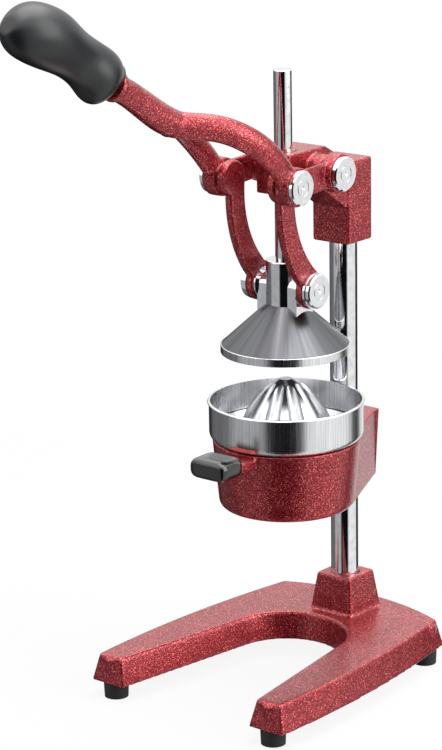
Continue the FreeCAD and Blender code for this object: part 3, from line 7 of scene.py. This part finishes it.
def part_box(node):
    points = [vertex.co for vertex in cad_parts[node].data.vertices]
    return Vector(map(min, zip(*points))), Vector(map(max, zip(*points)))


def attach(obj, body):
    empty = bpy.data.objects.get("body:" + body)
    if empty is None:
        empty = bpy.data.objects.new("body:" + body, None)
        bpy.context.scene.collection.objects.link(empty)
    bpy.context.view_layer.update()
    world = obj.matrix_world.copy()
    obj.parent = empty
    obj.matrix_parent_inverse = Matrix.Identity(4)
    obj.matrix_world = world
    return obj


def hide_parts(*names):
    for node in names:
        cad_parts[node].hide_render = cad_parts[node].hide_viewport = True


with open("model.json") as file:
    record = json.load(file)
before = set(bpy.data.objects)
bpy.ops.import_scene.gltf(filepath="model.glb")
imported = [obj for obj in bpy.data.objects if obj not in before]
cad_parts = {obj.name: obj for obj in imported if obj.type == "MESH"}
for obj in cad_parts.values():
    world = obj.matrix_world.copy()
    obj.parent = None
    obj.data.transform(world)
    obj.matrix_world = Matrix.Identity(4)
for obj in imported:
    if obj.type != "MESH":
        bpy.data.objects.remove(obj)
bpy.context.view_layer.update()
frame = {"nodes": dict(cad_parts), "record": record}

nodes = frame["nodes"]

MILLIMETRE = 0.001

# The middle of the press rod, front to back, in metres
rod_low, rod_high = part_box("press_rod")
AXIS_Y = (rod_low[1] + rod_high[1]) / 2


# Materials

def linear(hex_colour):
    """An sRGB hex colour as linear red, green, blue and alpha."""
    channels = [int(hex_colour[place:place + 2], 16) / 255 for place in (1, 3, 5)]
    curve = [c / 12.92 if c <= 0.04045 else ((c + 0.055) / 1.055) ** 2.4 for c in channels]
    return (*curve, 1.0)


def add(tree, kind, settings=(), links=()):
    """One node, with its settings (sockets or properties) and what feeds its sockets."""
    made = tree.nodes.new(kind)
    for name, setting in dict(settings).items():
        if isinstance(name, int) or name in made.inputs:
            made.inputs[name].default_value = setting
        else:
            setattr(made, name, setting)
    for name, source in dict(links).items():
        tree.links.new(source, made.inputs[name])
    return made


def ramp(tree, source, stops):
    """A colour ramp over a value, with its stops as (place, colour)."""
    made = tree.nodes.new("ShaderNodeValToRGB")
    keys = made.color_ramp.elements
    for place, colour in stops[2:]:
        keys.new(place)
    for key, (place, colour) in zip(keys, stops):
        key.position = place
        key.color = colour
    tree.links.new(source, made.inputs["Fac"])
    return made


def new_material(name):
    material = bpy.data.materials.new(name)
    material.use_nodes = True
    tree = material.node_tree
    shader = tree.nodes["Principled BSDF"]
    place = add(tree, "ShaderNodeTexCoord")
    return material, tree, shader, place.outputs["Object"]


def hammered_enamel():
    """Hammer-finish enamel on a casting: metal flakes pool in small cells of a clear red lacquer."""
    material, tree, shader, place = new_material("hammered_enamel_red")
    # The cells are about 1 mm across on the real paint, and a coarser drift shades them over 15 mm
    cells_per_metre = 1080.0
    cells = add(tree, "ShaderNodeTexVoronoi", {"Scale": cells_per_metre, "Randomness": 1.0},
                {"Vector": place})
    grain = add(tree, "ShaderNodeTexNoise", {"Scale": cells_per_metre, "Detail": 3.0, "Roughness": 0.6},
                {"Vector": place})
    drift = add(tree, "ShaderNodeTexNoise", {"Scale": 60.0, "Detail": 2.0}, {"Vector": place})
    speckle = add(tree, "ShaderNodeMath", {"operation": "MULTIPLY_ADD", 1: 0.5},
                  {0: cells.outputs["Distance"], 2: grain.outputs["Fac"]})
    total = add(tree, "ShaderNodeMath", {"operation": "MULTIPLY_ADD", 1: 0.1},
                {0: drift.outputs["Fac"], 2: speckle.outputs[0]})
    colour = ramp(tree, total.outputs[0], (
        (0.62, linear("#4a0210")), (0.8, linear("#8e0c1e")), (0.92, linear("#b62430")),
        (1.02, linear("#f0807a"))))
    # Painted highlight: the castings' sharp edges, found by pointiness, are lightened towards a pale pink
    # that stands in for the light caught along their rounded edges
    form = add(tree, "ShaderNodeNewGeometry")
    edge = add(tree, "ShaderNodeMapRange", {"From Min": 0.55, "From Max": 0.68, "To Min": 0.0, "To Max": 0.7},
               {"Value": form.outputs["Pointiness"]})
    edge_highlight = add(tree, "ShaderNodeMix", {"data_type": "RGBA"}, {"Factor": edge.outputs[0]})
    tree.links.new(colour.outputs["Color"], edge_highlight.inputs[6])
    # Pale pink of the painted edge highlight
    edge_highlight.inputs[7].default_value = linear("#f6b0a6")
    tree.links.new(edge_highlight.outputs[2], shader.inputs["Base Color"])
    rough = add(tree, "ShaderNodeMapRange",
                {"From Min": 0.6, "From Max": 0.9, "To Min": 0.42, "To Max": 0.26},
                {"Value": speckle.outputs[0]})
    tree.links.new(rough.outputs[0], shader.inputs["Roughness"])
    shader.inputs["Metallic"].default_value = 0.6
    shader.inputs["Coat Weight"].default_value = 0.4
    shader.inputs["Coat Roughness"].default_value = 0.18
    bump = add(tree, "ShaderNodeBump", {"Strength": 0.45, "Distance": 0.0003}, {"Height": speckle.outputs[0]})
    tree.links.new(bump.outputs["Normal"], shader.inputs["Normal"])
    skin = add(tree, "ShaderNodeBump", {"Strength": 0.3, "Distance": 0.0002}, {"Height": speckle.outputs[0]})
    tree.links.new(skin.outputs["Normal"], shader.inputs["Coat Normal"])
    return material


def chrome_plate():
    """Bright chrome on ground bar: a near mirror, with faint polishing lines."""
    material, tree, shader, place = new_material("chrome_plate_polished")
    lines = add(tree, "ShaderNodeTexNoise", {"Scale": 180.0, "Detail": 3.0}, {"Vector": place})
    shade = ramp(tree, lines.outputs["Fac"], ((0.3, linear("#d6d8da")), (0.7, linear("#e9eaec"))))
    tree.links.new(shade.outputs["Color"], shader.inputs["Base Color"])
    rough = add(tree, "ShaderNodeMapRange",
                {"From Min": 0.3, "From Max": 0.7, "To Min": 0.06, "To Max": 0.12},
                {"Value": lines.outputs["Fac"]})
    tree.links.new(rough.outputs[0], shader.inputs["Roughness"])
    shader.inputs["Metallic"].default_value = 1.0
    return material


def polished_sheet():
    """Stainless sheet of the bowl, polished bright across its band, with fine upright lines."""
    material, tree, shader, place = new_material("stainless_polished")
    # Lines about 1 mm apart that run up the band
    across, along = 900.0, 14.0
    stretched = add(tree, "ShaderNodeMapping", {"Scale": (across, across, along)}, {"Vector": place})
    lines = add(tree, "ShaderNodeTexNoise", {"Scale": 1.0, "Detail": 3.0}, {"Vector": stretched.outputs[0]})
    shade = ramp(tree, lines.outputs["Fac"], ((0.3, linear("#c9cacc")), (0.7, linear("#ecedef"))))
    tree.links.new(shade.outputs["Color"], shader.inputs["Base Color"])
    rough = add(tree, "ShaderNodeMapRange", {"From Min": 0.3, "From Max": 0.7, "To Min": 0.2, "To Max": 0.28},
                {"Value": lines.outputs["Fac"]})
    tree.links.new(rough.outputs[0], shader.inputs["Roughness"])
    shader.inputs["Metallic"].default_value = 1.0
    bump = add(tree, "ShaderNodeBump", {"Strength": 0.06, "Distance": 0.0001},
               {"Height": lines.outputs["Fac"]})
    tree.links.new(bump.outputs["Normal"], shader.inputs["Normal"])
    return material


def satin_sheet():
    """Stainless sheet of the press cone, satin, with soft streaks that run from its top down to the mouth."""
    material, tree, shader, place = new_material("stainless_satin")
    centred = add(tree, "ShaderNodeMapping", {"Location": (0.0, -AXIS_Y, 0.0)}, {"Vector": place})
    parts = add(tree, "ShaderNodeSeparateXYZ", {}, {0: centred.outputs[0]})
    turn = add(tree, "ShaderNodeMath", {"operation": "ARCTAN2"},
               {0: parts.outputs["Y"], 1: parts.outputs["X"]})
    around = add(tree, "ShaderNodeCombineXYZ", {}, {"X": turn.outputs[0]})
    # About 30 streaks all round, each a few millimetres wide at the mouth
    streaks = add(tree, "ShaderNodeTexNoise", {"Scale": 9.0, "Detail": 5.0, "Roughness": 0.6},
                  {"Vector": around.outputs[0]})
    shade = ramp(tree, streaks.outputs["Fac"], ((0.25, linear("#47484b")), (0.75, linear("#626366"))))
    tree.links.new(shade.outputs["Color"], shader.inputs["Base Color"])
    rough = add(tree, "ShaderNodeMapRange",
                {"From Min": 0.3, "From Max": 0.7, "To Min": 0.36, "To Max": 0.26},
                {"Value": streaks.outputs["Fac"]})
    tree.links.new(rough.outputs[0], shader.inputs["Roughness"])
    shader.inputs["Metallic"].default_value = 1.0
    return material


def plain_metal(name, dark, light, rough):
    """Small turned or cast fittings: an even metal with a little cloudiness."""
    material, tree, shader, place = new_material(name)
    cloud = add(tree, "ShaderNodeTexNoise", {"Scale": 260.0, "Detail": 4.0}, {"Vector": place})
    shade = ramp(tree, cloud.outputs["Fac"], ((0.3, linear(dark)), (0.7, linear(light))))
    tree.links.new(shade.outputs["Color"], shader.inputs["Base Color"])
    shader.inputs["Metallic"].default_value = 1.0
    shader.inputs["Roughness"].default_value = rough
    bump = add(tree, "ShaderNodeBump", {"Strength": 0.1, "Distance": 0.0002},
               {"Height": cloud.outputs["Fac"]})
    tree.links.new(bump.outputs["Normal"], shader.inputs["Normal"])
    return material


def moulded(name, dark, light, rough, grain_scale, grain_depth, coat=0.0):
    """Black plastic or rubber from a mould, with the fine grain that the mould leaves."""
    material, tree, shader, place = new_material(name)
    grain = add(tree, "ShaderNodeTexNoise", {"Scale": grain_scale, "Detail": 4.0, "Roughness": 0.6},
                {"Vector": place})
    shade = ramp(tree, grain.outputs["Fac"], ((0.3, linear(dark)), (0.75, linear(light))))
    tree.links.new(shade.outputs["Color"], shader.inputs["Base Color"])
    shader.inputs["Roughness"].default_value = rough
    shader.inputs["Coat Weight"].default_value = coat
    shader.inputs["Coat Roughness"].default_value = 0.08
    bump = add(tree, "ShaderNodeBump", {"Strength": 0.25, "Distance": grain_depth},
               {"Height": grain.outputs["Fac"]})
    tree.links.new(bump.outputs["Normal"], shader.inputs["Normal"])
    return material


enamel = hammered_enamel()
chrome = chrome_plate()
bowl_steel = polished_sheet()
cone_steel = satin_sheet()
cast_aluminium = plain_metal("aluminium_cast_polished", "#b9babd", "#d2d3d6", 0.28)
zinc = plain_metal("zinc_plate_bright", "#a2a4a8", "#bfc1c6", 0.32)
bronze = plain_metal("bronze_turned", "#9c7a44", "#b6935a", 0.3)
soft_black = moulded("soft_touch_black", "#101214", "#1b1d20", 0.36, 900.0, 0.00006)
gloss_black = moulded("phenolic_black_polished", "#050505", "#101012", 0.16, 300.0, 0.00005, 0.6)
rubber = moulded("rubber_black_moulded", "#131415", "#212223", 0.75, 700.0, 0.0002)

FINISH = {
    "painted_casting": enamel,
    "chromed_steel": chrome,
    "cast_aluminium": cast_aluminium,
    "zinc_plated_steel": zinc,
    "bearing_bronze": bronze,
    "soft_grip": soft_black,
    "gloss_grip": gloss_black,
    "foot_rubber": rubber,
}
NODE_FINISH = {"juice_bowl": bowl_steel, "strainer": bowl_steel, "press_cone": cone_steel}

for part in frame["record"]["subparts"]:
    name = part["node"]
    finish = NODE_FINISH.get(name) or FINISH[part["material_slot"]]
    mesh = nodes[name].data
    if not mesh.materials:
        mesh.materials.append(finish)
    for number in range(len(mesh.materials)):
        mesh.materials[number] = finish


# The press cone's mouth band is polished brighter than its satin sides
cone_mesh = nodes["press_cone"].data
cone_mesh.materials.append(bowl_steel)
cone_low, cone_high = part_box("press_cone")
BAND_SHARE = 0.985
band_inner = BAND_SHARE * (cone_high[0] - cone_low[0]) / 2
for face in cone_mesh.polygons:
    if math.hypot(face.center.x, face.center.y - AXIS_Y) > band_inner:
        face.material_index = len(cone_mesh.materials) - 1


# Castings. Each is cast again from its solid, so that its pieces run into each other with small hollow
# curves and its edges are as soft as a sand casting's under paint

def only(thing):
    """Select one object and make it the active one."""
    bpy.ops.object.select_all(action="DESELECT")
    thing.select_set(True)
    bpy.context.view_layer.objects.active = thing


def copy_of(node, name):
    """A free copy of a node's mesh, with its doubled points merged."""
    copy = bpy.data.objects.new(name, nodes[node].data.copy())
    bpy.context.scene.collection.objects.link(copy)
    only(copy)
    bpy.ops.object.mode_set(mode="EDIT")
    bpy.ops.mesh.select_all(action="SELECT")
    bpy.ops.mesh.remove_doubles(threshold=0.01 * MILLIMETRE)
    bpy.ops.mesh.normals_make_consistent(inside=False)
    bpy.ops.object.mode_set(mode="OBJECT")
    return copy


def extent(mesh):
    """The lowest corner and the size of a mesh's box."""
    low = Vector([min(point.co[axis] for point in mesh.vertices) for axis in range(3)])
    high = Vector([max(point.co[axis] for point in mesh.vertices) for axis in range(3)])
    return low, high - low


def cast_again(node, body, cell, smoothings, finish):
    """A casting in the place of a node: rebuilt in cells of one size, smoothed over a few of them, and
    stretched back to the size that the smoothing took from it."""
    casting = copy_of(node, node + "_cast")
    low, size = extent(casting.data)
    cells = casting.modifiers.new("cells", "REMESH")
    cells.mode = "VOXEL"
    cells.voxel_size = cell
    bpy.ops.object.modifier_apply(modifier=cells.name)
    soften = casting.modifiers.new("soften", "SMOOTH")
    soften.factor = 0.5
    soften.iterations = smoothings
    bpy.ops.object.modifier_apply(modifier=soften.name)
    smooth_low, smooth_size = extent(casting.data)
    stretch = Matrix.Diagonal([size[axis] / smooth_size[axis] for axis in range(3)]).to_4x4()
    casting.data.transform(Matrix.Translation(low) @ stretch @ Matrix.Translation(-smooth_low))
    bpy.ops.object.shade_smooth()
    casting.data.materials.clear()
    casting.data.materials.append(finish)
    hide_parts(node)
    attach(casting, body)


cast_again("base", "stand", 1.15 * MILLIMETRE, 5, enamel)
cast_again("head", "stand", 0.8 * MILLIMETRE, 7, enamel)
cast_again("cup_holder", "stand", 0.95 * MILLIMETRE, 6, enamel)
cast_again("lever", "lever_arm", 0.85 * MILLIMETRE, 12, enamel)
for link_name in ("link_left", "link_right"):
    cast_again(link_name, "links", 0.6 * MILLIMETRE, 6, enamel)
cast_again("side_grip", "stand", 0.9 * MILLIMETRE, 90, gloss_black)
cast_again("lever_grip", "lever_arm", 0.9 * MILLIMETRE, 10, soft_black)


# Floor, light and camera

FLOOR_HALF = 6.0


def floor():
    """A pale floor that shows white to the camera and keeps the shadow of the press."""
    bpy.ops.object.select_all(action="DESELECT")
    bpy.ops.mesh.primitive_plane_add(size=2 * FLOOR_HALF, location=(0, 0, 0))
    plane = bpy.context.object
    plane.name = "studio_floor"
    material = bpy.data.materials.new("floor_pale_paper")
    material.use_nodes = True
    tree = material.node_tree
    tree.nodes.remove(tree.nodes["Principled BSDF"])
    paper = add(tree, "ShaderNodeBsdfDiffuse", {"Color": linear("#f4f4f4")})
    lit = add(tree, "ShaderNodeEmission", {"Color": (1, 1, 1, 1), "Strength": 1.0})
    path = add(tree, "ShaderNodeLightPath")
    seen = add(tree, "ShaderNodeMath", {"operation": "MAXIMUM"},
               {0: path.outputs["Is Camera Ray"], 1: path.outputs["Is Transmission Ray"]})
    # The paper runs out into plain white between 0.35 m and 1 m from the press, so no edge of it shows
    place = add(tree, "ShaderNodeTexCoord")
    away = add(tree, "ShaderNodeVectorMath", {"operation": "LENGTH"}, {0: place.outputs["Object"]})
    white = add(tree, "ShaderNodeMapRange", {"From Min": 0.35, "From Max": 1.0, "To Min": 0.9, "To Max": 1.0},
                {"Value": away.outputs["Value"]})
    share = add(tree, "ShaderNodeMath", {"operation": "MULTIPLY"}, {0: seen.outputs[0], 1: white.outputs[0]})
    mix = add(tree, "ShaderNodeMixShader", {}, {0: share.outputs[0], 1: paper.outputs[0], 2: lit.outputs[0]})
    tree.links.new(mix.outputs[0], tree.nodes["Material Output"].inputs["Surface"])
    plane.data.materials.append(material)
    plane.visible_glossy = False


def studio():
    """A white room for the eye and for metal, with the dark gaps between its light panels."""
    world = bpy.data.worlds.new("studio")
    world.use_nodes = True
    bpy.context.scene.world = world
    tree = world.node_tree
    tree.nodes.clear()
    towards = add(tree, "ShaderNodeTexCoord")
    parts = add(tree, "ShaderNodeSeparateXYZ", {}, {0: towards.outputs["Generated"]})
    turn = add(tree, "ShaderNodeMath", {"operation": "ARCTAN2"},
               {0: parts.outputs["Y"], 1: parts.outputs["X"]})
    # Compass position from 0 to 1, starting at the left side and running by the front to the right
    compass = add(tree, "ShaderNodeMath", {"operation": "MULTIPLY_ADD", 1: 1 / (2 * math.pi), 2: 0.5},
                  {0: turn.outputs[0]})

    def spot(degrees):
        return (degrees + 180) / 360

    dark = linear("#0e0e10")
    dim = linear("#707072")
    grey = linear("#b6b6b8")
    white = (1.0, 1.0, 1.0, 1.0)
    low = ramp(tree, compass.outputs[0], (
        (spot(-180), dim), (spot(-146), dim), (spot(-138), grey), (spot(-88), grey), (spot(-80), dark),
        (spot(-30), dark), (spot(-20), white), (spot(56), white), (spot(64), dark), (spot(84), dark),
        (spot(92), white), (spot(122), white), (spot(130), dark), (spot(158), dark), (spot(168), dim)))
    high = ramp(tree, compass.outputs[0], (
        (spot(-142), white), (spot(-128), grey), (spot(-86), grey), (spot(-78), dark), (spot(-30), dark),
        (spot(-20), white), (spot(58), white), (spot(70), white)))
    level = add(tree, "ShaderNodeMapRange", {"From Min": -0.02, "From Max": 0.12},
                {"Value": parts.outputs["Z"]})
    side = add(tree, "ShaderNodeMix", {"data_type": "RGBA"}, {"Factor": level.outputs[0]})
    tree.links.new(low.outputs["Color"], side.inputs[6])
    tree.links.new(high.outputs["Color"], side.inputs[7])
    top = add(tree, "ShaderNodeMapRange", {"From Min": 0.4, "From Max": 0.6}, {"Value": parts.outputs["Z"]})
    room = add(tree, "ShaderNodeMix", {"data_type": "RGBA"}, {"Factor": top.outputs[0]})
    tree.links.new(side.outputs[2], room.inputs[6])
    ceiling = 2.2
    room.inputs[7].default_value = (ceiling, ceiling, ceiling, 1.0)
    path = add(tree, "ShaderNodeLightPath")
    mirrored = add(tree, "ShaderNodeBackground", {"Strength": 1.0}, {"Color": room.outputs[2]})
    seen = add(tree, "ShaderNodeBackground", {"Color": white, "Strength": 1.0})
    soft = add(tree, "ShaderNodeBackground", {"Color": linear("#f2f4f7"), "Strength": 0.22})
    glossy = add(tree, "ShaderNodeMixShader", {},
                 {0: path.outputs["Is Glossy Ray"], 1: soft.outputs[0], 2: mirrored.outputs[0]})
    direct = add(tree, "ShaderNodeMath", {"operation": "MAXIMUM"},
                 {0: path.outputs["Is Camera Ray"], 1: path.outputs["Is Transmission Ray"]})
    final = add(tree, "ShaderNodeMixShader", {},
                {0: direct.outputs[0], 1: glossy.outputs[0], 2: seen.outputs[0]})
    output = add(tree, "ShaderNodeOutputWorld")
    tree.links.new(final.outputs[0], output.inputs["Surface"])


def panel(name, place, aim, width, height, power):
    """A soft light panel at a place, turned to face a point."""
    light = bpy.data.lights.new(name, "AREA")
    light.shape = "RECTANGLE"
    light.size = width
    light.size_y = height
    light.energy = power
    lamp = bpy.data.objects.new(name, light)
    bpy.context.scene.collection.objects.link(lamp)
    facing = (Vector(aim) - Vector(place)).to_track_quat("-Z", "Y")
    lamp.matrix_world = Matrix.Translation(place) @ facing.to_matrix().to_4x4()
    lamp.visible_camera = False


# Sensor and lens in millimetres, and the place in metres from the press rod's foot
SENSOR_WIDTH = 36.0
LENS = 135.6
CAMERA_PLACE = Vector((1.2806, -1.6232, 0.82205))


def camera():
    """The photograph's viewpoint: long lens, a little above, from the front right."""
    view = bpy.data.cameras.new("photo_view")
    view.sensor_width = SENSOR_WIDTH
    view.lens = LENS
    seen = bpy.data.objects.new("photo_view", view)
    bpy.context.scene.collection.objects.link(seen)
    right = Vector((0.77291, 0.63430, -0.01621))
    back = Vector((0.61423, -0.74156, 0.26985)).normalized()
    up = back.cross(right).normalized()
    right = up.cross(back)
    turned = Matrix((right, up, back)).transposed().to_4x4()
    seen.matrix_world = Matrix.Translation(CAMERA_PLACE + Vector((0.0, AXIS_Y, 0.0))) @ turned
    bpy.context.scene.camera = seen


floor()
studio()
HALF_HEIGHT = 0.28
middle = (0.0, AXIS_Y, HALF_HEIGHT)
panel("panel_right", (1.6, AXIS_Y + 0.5, 0.9), middle, 1.2, 1.6, 20.0)
panel("panel_top", (0.1, AXIS_Y + 0.2, 1.9), middle, 1.6, 1.6, 34.0)
panel("panel_front", (-0.9, AXIS_Y - 1.8, 1.0), middle, 1.2, 1.2, 5.0)
camera()

bpy.context.scene.view_settings.view_transform = "Standard"
